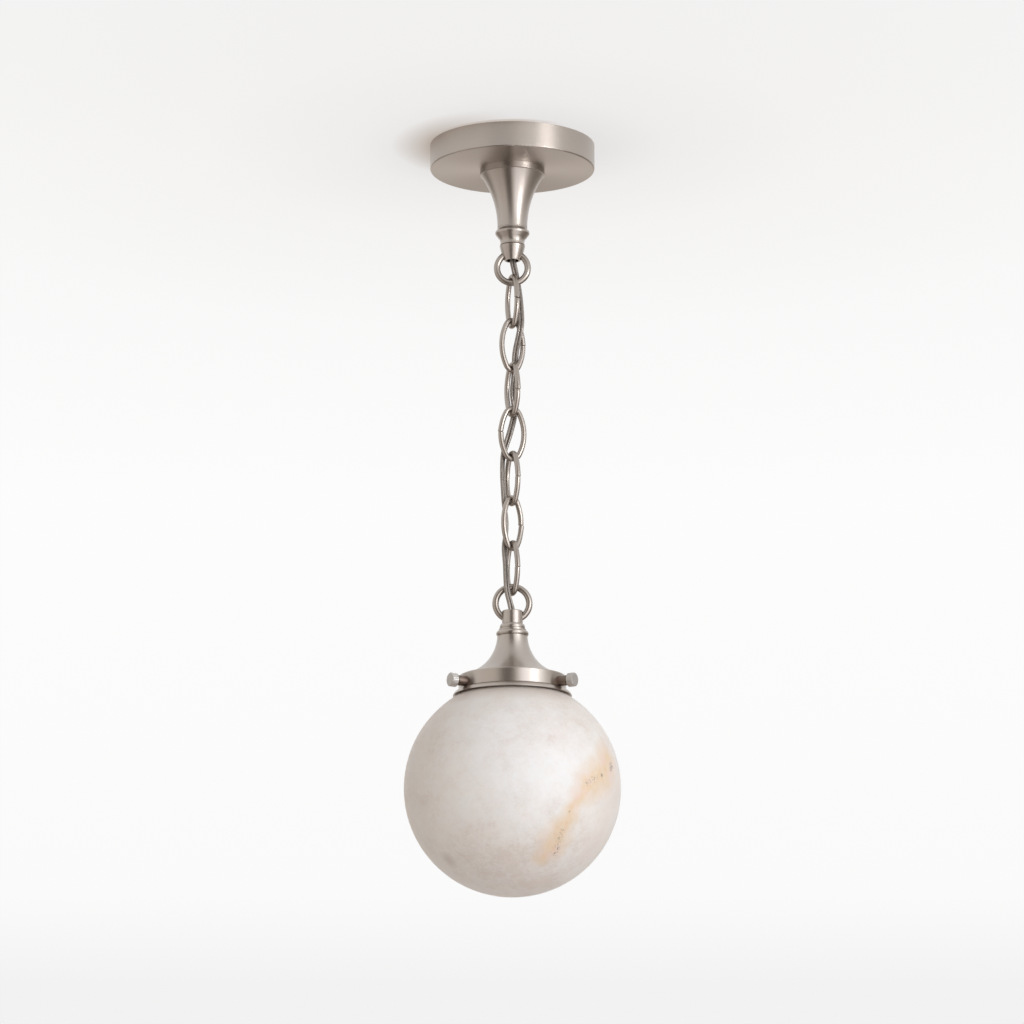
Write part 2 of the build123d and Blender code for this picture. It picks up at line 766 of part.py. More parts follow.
with BuildPart() as gallery_lock_nut:
    with BuildSketch(Plane.XY.offset(gallery_nut_bottom)):
        RegularPolygon(hex_nut_radius, 6)
        Circle(nipple_radius + thread_gap, mode=Mode.SUBTRACT)
    extrude(amount=lock_nut_height)
finish(gallery_lock_nut, "gallery_lock_nut")

# Soft ring between the plate and the neck of the globe
neck_top = plate_bottom - gasket_thickness
with BuildPart() as neck_gasket:
    with BuildSketch(Plane.XY.offset(neck_top)):
        Circle(neck_radius)
        Circle(neck_bore_radius, mode=Mode.SUBTRACT)
    extrude(amount=gasket_thickness)
finish(neck_gasket, "neck_gasket")

# Alabaster globe: a thick sphere with a neck, and a shallow seat for each screw tip
globe_z = plate_bottom - globe_below_gallery
neck_span = neck_top - globe_z
bore_span = neck_span + globe_radius
with BuildPart() as alabaster_globe:
    with Locations((0, 0, globe_z)):
        Sphere(globe_radius)
    with BuildSketch(Plane.XY.offset(globe_z)):
        Circle(neck_radius)
    extrude(amount=neck_span)
    # Above the neck's root nothing of the sphere is left.
    with BuildSketch(Plane.XY.offset(globe_z + math.sqrt(globe_radius**2 - neck_radius**2))):
        Circle(globe_radius)
        Circle(neck_radius, mode=Mode.SUBTRACT)
    extrude(amount=bore_span, mode=Mode.SUBTRACT)
    with Locations((0, 0, globe_z)):
        Sphere(globe_radius - globe_wall, mode=Mode.SUBTRACT)
    with BuildSketch(Plane.XY.offset(globe_z)):
        Circle(neck_bore_radius)
    extrude(amount=bore_span, mode=Mode.SUBTRACT)
    for number in range(screw_count):
        seat_azimuth = screw_first_azimuth + number * 360 / screw_count
        with BuildSketch(screw_axis_plane(seat_azimuth, seat_bottom_radius)):
            Circle(tip_seat_radius)
        extrude(amount=2 * tip_seat_depth + 1, mode=Mode.SUBTRACT)
finish(alabaster_globe, "alabaster_globe")

# Bracket that hangs the socket from the threaded tube
bracket_bottom = bracket_top - bracket_height
foot_end = bracket_half_depth + bracket_foot
mount_screw_y = foot_end - mount_screw_inset
with BuildPart() as socket_mount:
    with BuildSketch(Plane.YZ):
        with BuildLine():
            Polyline(
                (0, bracket_top),
                (bracket_half_depth, bracket_top),
                (bracket_half_depth, bracket_bottom + bracket_sheet),
                (foot_end, bracket_bottom + bracket_sheet),
                (foot_end, bracket_bottom),
                (bracket_half_depth - bracket_sheet, bracket_bottom),
                (bracket_half_depth - bracket_sheet, bracket_top - bracket_sheet),
                (0, bracket_top - bracket_sheet),
                close=True,
            )
        make_face()
        mirror(about=Plane.YZ)
    extrude(amount=bracket_width / 2, both=True)
    with Locations((0, 0, bracket_top)):
        Hole(nipple_radius + thread_gap, depth=bracket_sheet)
    with Locations((0, 0, bracket_bottom + bracket_sheet)):
        with Locations((0, mount_screw_y, 0), (0, -mount_screw_y, 0)):
            Hole(mount_screw_radius + thread_gap, depth=bracket_sheet)
finish(socket_mount, "socket_mount")

# Two screws through the bracket's feet into the porcelain
foot_top = bracket_bottom + bracket_sheet
with BuildPart() as socket_mount_screws:
    with BuildSketch(Plane.XY.offset(foot_top)):
        with Locations((0, mount_screw_y), (0, -mount_screw_y)):
            Circle(mount_screw_head_radius)
    extrude(amount=mount_screw_head_height)
    with BuildSketch(Plane.XY.offset(foot_top)):
        with Locations((0, mount_screw_y), (0, -mount_screw_y)):
            Circle(mount_screw_radius)
    extrude(amount=-mount_screw_length)
finish(socket_mount_screws, "socket_mount_screws")

# Porcelain socket body
socket_top = bracket_bottom
socket_bottom = socket_top - socket_length
with BuildPart() as socket_body:
    with BuildSketch(Plane.XZ):
        with BuildLine():
            Polyline(
                (0, socket_top),
                (socket_top_radius, socket_top),
                (socket_radius, socket_top - socket_top_height),
                (socket_radius, socket_bottom),
                (0, socket_bottom),
                close=True,
            )
        make_face()
    revolve(axis=Axis.Z)
    fillet(socket_body.edges().group_by(Axis.Z)[0], 1.5)
    with BuildSketch(Plane.XY.offset(socket_bottom)):
        Circle(socket_cavity_radius)
    extrude(amount=socket_cavity_depth, mode=Mode.SUBTRACT)
    with Locations((0, 0, socket_top)):
        with Locations((0, mount_screw_y, 0), (0, -mount_screw_y, 0)):
            Hole(mount_screw_radius + thread_gap, depth=mount_screw_length)
finish(socket_body, "socket_body")

# Screw shell and centre contact inside the porcelain
cavity_top = socket_bottom + socket_cavity_depth
with BuildPart() as socket_shell:
    with BuildSketch(Plane.XY.offset(cavity_top - shell_length)):
        Circle(socket_cavity_radius)
        Circle(socket_cavity_radius - shell_wall, mode=Mode.SUBTRACT)
    extrude(amount=shell_length)
finish(socket_shell, "socket_shell")

with BuildPart() as socket_contact:
    with BuildSketch(Plane.XY.offset(cavity_top - socket_contact_thickness)):
        Circle(socket_contact_radius)
    extrude(amount=socket_contact_thickness)
finish(socket_contact, "socket_contact")

# Terminal screws on top of the porcelain
with BuildPart() as terminal_screws:
    with BuildSketch(Plane.XY.offset(socket_top)):
        with Locations((terminal_x, 0), (-terminal_x, 0)):
            Circle(terminal_head_radius)
    extrude(amount=terminal_head_height)
    chamfer(terminal_screws.edges().group_by(Axis.Z)[-1], 0.4)
finish(terminal_screws, "terminal_screws")

# Bulb: its contact touches the socket's centre contact
bulb_top = cavity_top - socket_contact_thickness
with BuildPart() as bulb_contact:
    with BuildSketch(Plane.XY.offset(bulb_top - bulb_contact_height)):
        Circle(bulb_contact_radius)
    extrude(amount=bulb_contact_height)
    fillet(bulb_contact.edges().group_by(Axis.Z)[-1], 0.8)
finish(bulb_contact, "bulb_contact")

insulator_top = bulb_top - bulb_contact_height
insulator_bottom = insulator_top - bulb_insulator_height
with BuildPart() as bulb_insulator:
    with BuildSketch(Plane.XZ):
        with BuildLine():
            Polyline(
                (0, insulator_top),
                (bulb_contact_radius, insulator_top),
                (bulb_insulator_radius, insulator_bottom),
                (0, insulator_bottom),
                close=True,
            )
        make_face()
    revolve(axis=Axis.Z)
finish(bulb_insulator, "bulb_insulator")

# Threaded base, its ridges drawn as rings
base_bottom = insulator_bottom - bulb_base_length
thread_count = 5
base_points = [(0, insulator_bottom), (bulb_insulator_radius, insulator_bottom)]
thread_start = insulator_bottom - bulb_thread_drop
base_points.append((bulb_base_radius - bulb_thread_depth, thread_start))
for turn in range(thread_count):
    crest = thread_start - (turn + 0.5) * bulb_thread_pitch
    valley = thread_start - (turn + 1) * bulb_thread_pitch
    base_points.append((bulb_base_radius, crest))
    base_points.append((bulb_base_radius - bulb_thread_depth, valley))
base_points.append((bulb_base_radius, base_bottom))
base_points.append((bulb_base_radius - 2 * bulb_base_wall, base_bottom))
base_points.append((bulb_base_radius - 2 * bulb_base_wall, insulator_bottom - bulb_cap_wall - bulb_cap_slope))
base_points.append((0, insulator_bottom - bulb_cap_wall))
bulb_base = spun(base_points)
finish(bulb_base, "bulb_base")

# Glass envelope, hollow
bulb_bottom = bulb_top - bulb_length
bulb_centre_z = bulb_bottom + bulb_radius
glass_neck_z = base_bottom + 0.6
glass_shoulder = (bulb_shoulder_radius, bulb_centre_z + bulb_shoulder_rise)


def bulb_outline(inset):
    """Half outline of the envelope, moved in by inset."""
    neck = bulb_neck_radius - 0.5 - inset
    top = glass_neck_z + 0.4 if inset == 0 else glass_neck_z + 2.0
    widest = bulb_radius - inset
    with BuildLine() as half:
        Line((0, top), (neck, top))
        Line((neck, top), (neck, base_bottom - 2.0))
        ThreePointArc(
            (neck, base_bottom - 2.0),
            (glass_shoulder[0] - inset, glass_shoulder[1]),
            (widest, bulb_centre_z),
        )
        RadiusArc((widest, bulb_centre_z), (0, bulb_centre_z - widest), widest)
        Line((0, bulb_centre_z - widest), (0, top))
    return half.line


with BuildPart() as bulb_glass:
    with BuildSketch(Plane.XZ):
        add(bulb_outline(0))
        make_face()
    revolve(axis=Axis.Z)
    with BuildSketch(Plane.XZ):
        add(bulb_outline(bulb_glass_wall))
        make_face()
    revolve(axis=Axis.Z, mode=Mode.SUBTRACT)
finish(bulb_glass, "bulb_glass")

# Glass stem and filament frame inside the bulb
stem_top = base_bottom + 0.2
with BuildPart() as bulb_stem:
    with BuildSketch(Plane.XZ):
        with BuildLine():
            Polyline(
                (0, stem_top),
                (bulb_stem_flare_radius - 0.4, stem_top),
                (bulb_stem_flare_radius - 0.4, stem_top - 1.2),
                (bulb_stem_radius, stem_top - 9.0),
                (bulb_stem_radius, stem_top - bulb_stem_length),
                (0, stem_top - bulb_stem_length),
                close=True,
            )
        make_face()
    revolve(axis=Axis.Z)
finish(bulb_stem, "bulb_stem")


def twin_cord(points):
    """Two round strands side by side, joined along their length, swept along the route."""
    corners, radii = tube_route(points)
    with BuildPart() as cord:
        with BuildLine() as route:
            if radii:
                FilletPolyline(*corners, radius=radii)
            else:
                Line(*corners)
        with BuildSketch(Plane(origin=route.line @ 0, x_dir=(1, 0, 0), z_dir=route.line % 0)):
            with Locations((cord_strand_offset, 0), (-cord_strand_offset, 0)):
                Circle(cord_strand_radius)
        sweep(path=route.line)
    length = sum(edge.length for edge in route.edges())
    section = cord.part.volume / length
    print("cord radii", [round(radius, 1) for radius in radii], "length", round(length, 1))
    print("cord volume over length", round(section, 3))
    return cord


# Cord in the canopy's tube
cord_start_z = nipple_top - 0.4
cord_join_z = nipple_bottom + 2.6
finish(twin_cord([(0, 0, cord_start_z), (0, 0, cord_join_z)]), "canopy_cord")

# Way points of the cord between the two threaded tubes. It goes behind the top of the upper ring,
# on the right of link 1, through link 2, behind links 3 and 4, left of links 5, 6 and 7, and in
# front of the bottom of the lower ring.
# x, y and the height over the nose's end
nose_way = [(0, 0, 13.7), (0, 2.8, 9.6), (0, 4.5, 5.9), (0.2, 2.9, 0.7)]
# x, y and the place along the chain, in links below the middle of link 1
chain_way = [
    (1.9, 3.9, -0.73),
    (4.0, 5.3, -0.43),
    (5.6, 3.2, -0.10),
    (6.5, 0.1, 0.24),
    (6.8, -2.0, 0.54),
    (4.8, -1.2, 0.84),
    (2.3, 3.3, 1.13),
    (1.9, 6.1, 1.40),
    (1.7, 7.2, 1.69),
    (0.2, 5.2, 2.02),
    (2.1, 6.9, 2.36),
    (0.9, 6.7, 2.63),
    (-2.3, 5.0, 2.99),
    (-5.4, 4.3, 3.26),
    (-7.5, 3.0, 3.52),
    (-7.7, 1.6, 3.93),
    (-7.0, 2.0, 4.28),
    (-6.5, 2.2, 4.56),
    (-4.4, 0.4, 4.93),
    (-4.9, 1.4, 5.25),
    (-6.5, 0.7, 5.53),
    (-5.0, -1.9, 5.91),
    (-4.7, -4.2, 6.25),
    (-4.0, -5.0, 6.56),
    (-1.9, -5.0, 6.78),
]
# x, y and the depth below the stub's top
stub_way = [(-0.1, -4.4, 1.6), (0, -4.5, 7.9), (0, -2.2, 11.3), (0, -0.7, 13.5), (0, 0, 15.8)]
head_cord_top = head_nipple_top - 5.4
cord_points = [(0, 0, cord_join_z)]
for x, y, over in nose_way:
    cord_points.append((x, y, nose_bottom + over))
for x, y, place in chain_way:
    cord_points.append((x, y, first_link_z - place * link_pitch))
for x, y, depth in stub_way:
    cord_points.append((x, y, stub_top - depth))
cord_points.append((0, 0, head_cord_top))
finish(twin_cord(cord_points), "chain_cord")

# Cord inside the lamp head's tube
head_cord_bottom = head_nipple_bottom - 0.4
finish(twin_cord([(0, 0, head_cord_top), (0, 0, head_cord_bottom)]), "head_cord")


def lead_wire(points):
    """One round insulated lead."""
    corners, radii = tube_route(points)
    with BuildPart() as lead:
        with BuildLine() as route:
            FilletPolyline(*corners, radius=radii)
        with BuildSketch(Plane(origin=route.line @ 0, z_dir=route.line % 0)):
            Circle(lead_radius)
        sweep(path=route.line)
    return lead


# Leads from the cord's lower end to the terminal screws
lead_end_z = socket_top + terminal_head_height + lead_radius
lead_half = [
    (cord_strand_offset, 0, head_cord_bottom),
    (cord_strand_offset, 0, head_cord_bottom - 2.6),
    (6.5, 0, lead_end_z + 0.4),
    (terminal_x + 1.5, 0, lead_end_z),
]
with BuildPart() as socket_leads:
    for side in (1, -1):
        add(lead_wire([(side * x, y, z) for x, y, z in lead_half]).part)
finish(socket_leads, "socket_leads")

# Twist-on connectors that lie on the floor of the pan
connector_radius = 4.6
connector_tip_radius = 3.0
connector_length = 17.0
connector_z = canopy_bottom + canopy_wall + connector_radius + 0.1
connector_mouth_x = 16.0
connector_y = 26.0
ground_connector_y = -24.0
connector_mouths = [
    (connector_mouth_x, connector_y),
    (-connector_mouth_x, connector_y),
    (-connector_mouth_x, ground_connector_y),
]


def connector_plane(mouth_x, mouth_y):
    """Plane of a connector's mouth. The connector lies outward along X."""
    outward = 1 if mouth_x > 0 else -1
    return Plane(origin=(mouth_x, mouth_y, connector_z), x_dir=(0, 1, 0), z_dir=(outward, 0, 0))


with BuildPart() as wire_connectors:
    for mouth_x, mouth_y in connector_mouths:
        mouth_plane = connector_plane(mouth_x, mouth_y)
        with BuildSketch(mouth_plane):
            Circle(connector_radius)
        with BuildSketch(mouth_plane.offset(connector_length)):
            Circle(connector_tip_radius)
        loft()
finish(wire_connectors, "wire_connectors")

# Leads from the cord's upper end over the strap to the connectors
lead_top_z = -1.6
supply_half = [
    (cord_strand_offset, 0, cord_start_z),
    (cord_strand_offset, 0, lead_top_z),
    (2.6, 10.5, lead_top_z - 0.2),
    (4.0, 19.0, -8.0),
    (7.5, connector_y, connector_z),
    (connector_mouth_x, connector_y, connector_z),
]
with BuildPart() as supply_leads:
    for side in (1, -1):
        add(lead_wire([(side * x, y, z) for x, y, z in supply_half]).part)
finish(supply_leads, "supply_leads")

# Ground wire from under the ground screw's head to its connector
ground_wire_route = [
    (ground_screw_x, -ground_head_radius, bar_centre_top + lead_radius + 0.02),
    (ground_screw_x, -10.5, bar_centre_top + lead_radius + 0.3),
    (-9.5, -17.0, connector_z + 2.4),
    (-8.5, ground_connector_y, connector_z),
    (-connector_mouth_x, ground_connector_y, connector_z),
]
finish(lead_wire(ground_wire_route), "ground_wire")
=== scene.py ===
import math

import bpy
import numpy as np
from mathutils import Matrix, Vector


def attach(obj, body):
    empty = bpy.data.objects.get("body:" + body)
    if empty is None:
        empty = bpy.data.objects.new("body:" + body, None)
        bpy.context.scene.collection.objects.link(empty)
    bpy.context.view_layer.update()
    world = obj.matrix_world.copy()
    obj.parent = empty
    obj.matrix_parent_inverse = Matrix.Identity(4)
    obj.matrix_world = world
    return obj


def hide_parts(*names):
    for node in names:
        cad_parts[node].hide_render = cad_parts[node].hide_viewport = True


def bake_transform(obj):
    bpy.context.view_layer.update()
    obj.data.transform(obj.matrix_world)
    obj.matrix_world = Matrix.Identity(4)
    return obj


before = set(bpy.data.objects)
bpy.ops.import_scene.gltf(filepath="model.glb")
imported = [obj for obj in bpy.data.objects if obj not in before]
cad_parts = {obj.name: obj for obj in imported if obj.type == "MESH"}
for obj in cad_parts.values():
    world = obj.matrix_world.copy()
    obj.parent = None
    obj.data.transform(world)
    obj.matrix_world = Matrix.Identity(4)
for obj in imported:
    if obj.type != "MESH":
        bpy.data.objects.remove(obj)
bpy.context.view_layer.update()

MM = 0.001
scene = bpy.context.scene

# Sizes and places that the CAD model has too, in millimetres
CANOPY_RADIUS = 63.5
LINK_WIRE_RADIUS = 2.05
LINK_HALF_WIDTH = 8.95
LINK_END_RADIUS = 5.5
LINK_MEAN_LENGTH = 39.35
LINK_PITCH = 34.95
FIRST_LINK_Z = -124.575
LINK_AZIMUTHS = (-66.0, 26.0, -62.0, 12.0, -62.0, 43.0, -64.0)
LINK_COUNT = len(LINK_AZIMUTHS)
UPPER_RING_Z = -98.1
UPPER_RING_RADIUS = 11.8
LOWER_RING_Z = -361.7
UPPER_RING_HINGE_Z = -88.75
LAMP_HEAD_HINGE_Z = -372.19
CORD_TOP_Z = -76.0
CORD_BOTTOM_Z = -385.4


def metres(point):
    return tuple(c * MM for c in point)


class Nodes:
    """Short calls for building one material's or world's nodes."""

    def __init__(self, tree):
        self.tree = tree
        tree.nodes.clear()

    def put(self, node, inputs):
        """Link or set a node's inputs."""
        for key, value in inputs.items():
            if isinstance(value, bpy.types.NodeSocket):
                self.tree.links.new(value, node.inputs[key])
            else:
                node.inputs[key].default_value = value

    def add(self, kind, inputs=None, **settings):
        node = self.tree.nodes.new("ShaderNode" + kind)
        for key, value in settings.items():
            setattr(node, key, value)
        self.put(node, inputs or {})
        return node

    def math(self, operation, a, b=None, clamp=False):
        values = {0: a} if b is None else {0: a, 1: b}
        return self.add("Math", values, operation=operation, use_clamp=clamp).outputs[0]

    def strongest(self, values):
        """The largest of several values."""
        result = values[0]
        for value in values[1:]:
            result = self.math("MAXIMUM", result, value)
        return result

    def weighted(self, *pairs):
        """The sum of values, each times its weight."""
        parts = [self.math("MULTIPLY", value, weight) for value, weight in pairs]
        result = parts[0]
        for part in parts[1:]:
            result = self.math("ADD", result, part)
        return result

    def vector(self, operation, a, b):
        return self.add("VectorMath", {0: a, 1: b}, operation=operation).outputs[0]

    def distance(self, a, b):
        return self.add("VectorMath", {0: a, 1: b}, operation="DISTANCE").outputs["Value"]

    def axes(self, vector):
        return self.add("SeparateXYZ", {0: vector}).outputs

    def noise(self, vector, scale, detail=3.0, roughness=0.5):
        inputs = {"Vector": vector, "Scale": scale, "Detail": detail, "Roughness": roughness}
        return self.add("TexNoise", inputs).outputs["Fac"]

    def ramp(self, value, stops):
        """Colours or grey levels by value, with straight runs between the stops."""
        node = self.add("ValToRGB", {"Fac": value})
        elements = node.color_ramp.elements
        while len(elements) > 1:
            elements.remove(elements[-1])
        for index, (position, colour) in enumerate(stops):
            if not isinstance(colour, tuple):
                colour = (colour, colour, colour)
            element = elements[0] if index == 0 else elements.new(position)
            element.position = position
            element.color = (*colour, 1.0)
        return node.outputs["Color"]

    def span(self, value, low, high, to_low=0.0, to_high=1.0):
        """A value's place between low and high, held at the ends, as to_low to to_high."""
        return self.add("MapRange", {"Value": value, "From Min": low, "From Max": high,
                                     "To Min": to_low, "To Max": to_high}).outputs[0]

    def mix(self, factor, a, b, blend="MIX"):
        a, b = (value if isinstance(value, bpy.types.NodeSocket) else (*value, 1.0) for value in (a, b))
        node = self.add("Mix", data_type="RGBA", blend_type=blend)
        self.put(node, {0: factor, 6: a, 7: b})
        return node.outputs[2]

    def position(self):
        return self.add("TexCoord").outputs["Object"]

    def bump(self, height, strength, distance):
        return self.add("Bump", {"Height": height, "Strength": strength, "Distance": distance}).outputs[0]


def material(name):
    made = bpy.data.materials.new(name)
    made.use_nodes = True
    nodes = Nodes(made.node_tree)
    shader = nodes.add("BsdfPrincipled")
    nodes.add("OutputMaterial", {"Surface": shader.outputs[0]})
    return made, nodes, shader


def scaled(colour, factor):
    return tuple(min(1.0, c * factor) for c in colour)


# Satin nickel plate
NICKEL = (0.510, 0.460, 0.418)
NICKEL_WIRE = (0.43, 0.383, 0.345)
NICKEL_SCREW = (0.60, 0.575, 0.55)
TURNED_LINES = 2400.0
TURNED_STRETCH = 0.004
PLAIN_LINES = 700.0


def turned_vector(nodes, around):
    """Coordinates for brushing that runs round the lamp's axis."""
    x, y, z = nodes.axes(nodes.position())
    squares = nodes.math("ADD", nodes.math("MULTIPLY", x, x), nodes.math("MULTIPLY", y, y))
    radius = nodes.math("SQRT", squares)
    angle = nodes.math("ARCTAN2", x, nodes.math("MULTIPLY", y, -1.0))
    return nodes.add("CombineXYZ", {0: radius, 1: z, 2: nodes.math("MULTIPLY", angle, around)}).outputs[0]


def nickel(name, turned=True, colour=NICKEL, roughness=0.34):
    """Satin nickel plate. On turned pieces the brushing goes round the lamp's axis."""
    made, nodes, shader = material(name)
    cloud = nodes.noise(nodes.position(), 30.0)
    if turned:
        lines = nodes.noise(turned_vector(nodes, TURNED_STRETCH), TURNED_LINES, roughness=0.6)
    else:
        lines = nodes.noise(nodes.position(), PLAIN_LINES, roughness=0.6)
    tone = nodes.weighted((lines, 0.5), (cloud, 0.5))
    rough = nodes.math("ADD", nodes.span(cloud, 0.3, 0.7, roughness - 0.02, roughness + 0.02),
                       nodes.span(lines, 0.3, 0.7, -0.02, 0.02))
    nodes.put(shader, {
        "Base Color": nodes.ramp(tone, [(0.38, scaled(colour, 0.95)), (0.62, scaled(colour, 1.03))]),
        "Roughness": rough,
        "Metallic": 1.0,
        "Normal": nodes.bump(lines, 0.04, 0.00003),
    })
    if turned:
        tangent = nodes.add("Tangent", direction_type="RADIAL", axis="Z").outputs[0]
        nodes.put(shader, {"Anisotropic": 0.75, "Anisotropic Rotation": 0.25, "Tangent": tangent})
    return made


def plain_surface(name, colour, roughness, grain=500.0, spread=0.06, bump=0.1):
    """One colour with a fine grain in its tone, gloss and height."""
    made, nodes, shader = material(name)
    value = nodes.noise(nodes.position(), grain, 4.0, 0.6)
    tones = [(0.3, scaled(colour, 1 - spread)), (0.7, scaled(colour, 1 + spread))]
    nodes.put(shader, {
        "Base Color": nodes.ramp(value, tones),
        "Roughness": nodes.span(value, 0.3, 0.7, roughness - 0.05, roughness + 0.05),
        "Normal": nodes.bump(value, bump, 0.0001),
    })
    return made


def plain_metal(name, colour, roughness):
    """Bare metal with a fine grain."""
    made, nodes, shader = material(name)
    value = nodes.noise(nodes.position(), 900.0, 4.0, 0.6)
    nodes.put(shader, {
        "Base Color": nodes.ramp(value, [(0.3, scaled(colour, 0.88)), (0.7, scaled(colour, 1.12))]),
        "Roughness": nodes.span(value, 0.3, 0.7, roughness - 0.06, roughness + 0.08),
        "Metallic": 1.0,
        "Normal": nodes.bump(value, 0.15, 0.00005),
    })
    return made


# The stone's tones, from its dark clouds to its clear parts
STONE_TONES = [(0.36, (0.775, 0.700, 0.645)), (0.45, (0.835, 0.775, 0.730)),
               (0.53, (0.865, 0.815, 0.775)), (0.64, (0.890, 0.850, 0.820))]
# Painted light: the stone is painted whiter and cooler where the lamps light the globe's front most: two
# points and their sizes, in millimetres
PAINTED_LIGHT_SPOTS = (((12.0, -79.5, -492.0), 40.0), ((-8.0, -72.0, -472.0), 34.0))
PAINTED_LIGHT_TINT = (1.07, 1.095, 1.13)
BODY_TINT = (1.015, 1.015, 1.015)
# Painted shade: the neck is painted darker under the gallery's lip, between these heights in metres
NECK_PAINTED_SHADE = (0.58, 0.50, 0.445)
NECK_FOOT, NECK_TOP = -0.446, -0.430
# The tan vein's line over the globe: a point and half its width there, in millimetres
VEIN = (
    ((70.5, -39.0, -488.3), 11.0),
    ((67.9, -44.9, -499.2), 13.0),
    ((57.3, -57.6, -509.7), 11.5),
    ((52.0, -61.3, -517.0), 8.5),
    ((47.9, -63.1, -522.5), 6.0),
    ((43.1, -64.1, -529.4), 5.8),
    ((41.7, -62.2, -535.8), 6.5),
    ((36.5, -61.2, -543.1), 8.5),
    ((32.1, -58.1, -550.8), 11.0),
    ((29.2, -53.6, -557.5), 9.5),
    ((22.6, -50.2, -563.6), 7.0),
)
VEIN_TONES = [(0.38, (0.82, 0.625, 0.435)), (0.50, (0.85, 0.665, 0.48)), (0.62, (0.87, 0.665, 0.55))]
# A rosy wash beside it: two points and half the width at each, in millimetres
WASH = (((74.0, -30.0, -495.0), 16.0), ((60.0, -24.0, -552.0), 14.0))
WASH_TONE = (0.85, 0.755, 0.70)
# Dark mineral specks: a point and its size, in millimetres
SPECKS = (
    ((73.6, -33.2, -492.2), 2.2),
    ((73.0, -35.2, -494.9), 1.6),
    ((66.2, -47.5, -501.8), 1.1),
    ((42.0, -63.9, -531.6), 0.6),
)
# Sprinkles of finer specks: two points and half the width at each, in millimetres
SPRINKLES = (
    (((63.5, -51.5, -504.0), 1.6), ((56.0, -58.6, -509.5), 2.2)),
    (((38.0, -59.5, -544.5), 1.6), ((31.0, -50.0, -560.0), 2.8)),
)
SPECK_TONE = (0.17, 0.12, 0.10)
# A grey smudge low on the left: its point and size, in millimetres
SMUDGE = ((-47.5, -30.5, -562.0), 5.0)
SMUDGE_TONE = (0.42, 0.36, 0.33)


def warped(nodes, place, scale, reach):
    """Coordinates pushed about by soft noise."""
    noise = nodes.add("TexNoise", {"Vector": place, "Scale": scale, "Detail": 4.0, "Roughness": 0.62})
    shift = nodes.vector("SUBTRACT", noise.outputs["Color"], (0.5, 0.5, 0.5))
    return nodes.vector("ADD", place, nodes.vector("MULTIPLY", shift, (reach, reach, reach)))


def near_point(nodes, vector, centre, size):
    """One at a point, falling to nothing past its size."""
    return nodes.span(nodes.distance(vector, metres(centre)), size * 1.75 * MM, size * 0.35 * MM)


def near_run(nodes, vector, start, end):
    """One on the line between two points, falling to nothing past its half width."""
    (here, width_here), (there, width_there) = start, end
    run = Vector(metres(there)) - Vector(metres(here))
    offset = nodes.vector("SUBTRACT", vector, metres(here))
    along = nodes.add("VectorMath", {0: offset, 1: tuple(run / run.length_squared)},
                      operation="DOT_PRODUCT").outputs["Value"]
    share = nodes.math("MULTIPLY", along, 1.0, clamp=True)
    foot = nodes.add("VectorMath", {0: tuple(run), "Scale": share}, operation="SCALE").outputs[0]
    width = nodes.span(share, 0.0, 1.0, width_here * MM, width_there * MM)
    return nodes.span(nodes.math("DIVIDE", nodes.distance(offset, foot), width), 1.65, 0.20)


def stone_body(nodes, place, bent, patches, grain):
    """Clouds, mottling and crystals, with a painted pool of light on the front, painted shade at the neck,
    and the rosy wash.
    """
    clouds = nodes.noise(bent, 17.0, 4.0, 0.55)
    mottle = nodes.noise(bent, 190.0, 4.0, 0.6)
    crystals = nodes.add("TexVoronoi", {"Vector": place, "Scale": 420.0}, feature="F1").outputs["Color"]
    tone = nodes.weighted((clouds, 0.45), (patches, 0.45), (mottle, 0.10))
    tone = nodes.math("ADD", tone, nodes.span(grain, 0.3, 0.7, -0.06, 0.06))
    tone = nodes.math("ADD", tone, nodes.span(nodes.axes(crystals)[0], 0.0, 1.0, -0.035, 0.035))
    # Painted light: whiter, cooler stone where the lamps light the globe's front
    painted_light = nodes.strongest([near_point(nodes, bent, *point) for point in PAINTED_LIGHT_SPOTS])
    tint = nodes.mix(painted_light, BODY_TINT, PAINTED_LIGHT_TINT)
    body = nodes.mix(1.0, tint, nodes.ramp(tone, STONE_TONES), "MULTIPLY")
    # Painted shade under the gallery's lip
    neck = nodes.span(nodes.axes(place)[2], NECK_FOOT, NECK_TOP)
    body = nodes.mix(neck, body, NECK_PAINTED_SHADE)
    wash = nodes.math("MULTIPLY", near_run(nodes, bent, *WASH), 0.55)
    return nodes.mix(wash, body, WASH_TONE)


def with_vein(nodes, body, place, ragged):
    """The stone with its tan vein, uneven in strength and ragged at its edges."""
    runs = zip(VEIN[:-1], VEIN[1:])
    vein = nodes.strongest([near_run(nodes, ragged, start, end) for start, end in runs])
    uneven = nodes.span(nodes.noise(place, 170.0, 5.0, 0.7), 0.32, 0.58, 0.72, 1.08)
    share = nodes.math("MULTIPLY", nodes.math("MULTIPLY", vein, uneven), 0.92, clamp=True)
    return nodes.mix(share, body, nodes.ramp(nodes.noise(place, 70.0, 3.0, 0.6), VEIN_TONES))


def with_specks(nodes, body, place, bent, ragged):
    """The stone with its dark specks, broken up by fine noise, and its grey smudge."""
    broken = nodes.span(nodes.noise(place, 700.0, 3.0, 0.7), 0.40, 0.60)
    specks = nodes.strongest([near_point(nodes, place, centre, size) for centre, size in SPECKS])
    fine = nodes.span(nodes.noise(place, 1000.0, 2.0, 0.6), 0.55, 0.66)
    sprinkles = [nodes.math("MULTIPLY", near_run(nodes, ragged, start, end), fine)
                 for start, end in SPRINKLES]
    specks = nodes.strongest([nodes.math("MULTIPLY", specks, broken), *sprinkles])
    smudge = nodes.math("MULTIPLY", near_point(nodes, bent, *SMUDGE), 0.32)
    body = nodes.mix(smudge, body, SMUDGE_TONE)
    return nodes.mix(nodes.math("MULTIPLY", specks, 0.85, clamp=True), body, SPECK_TONE)


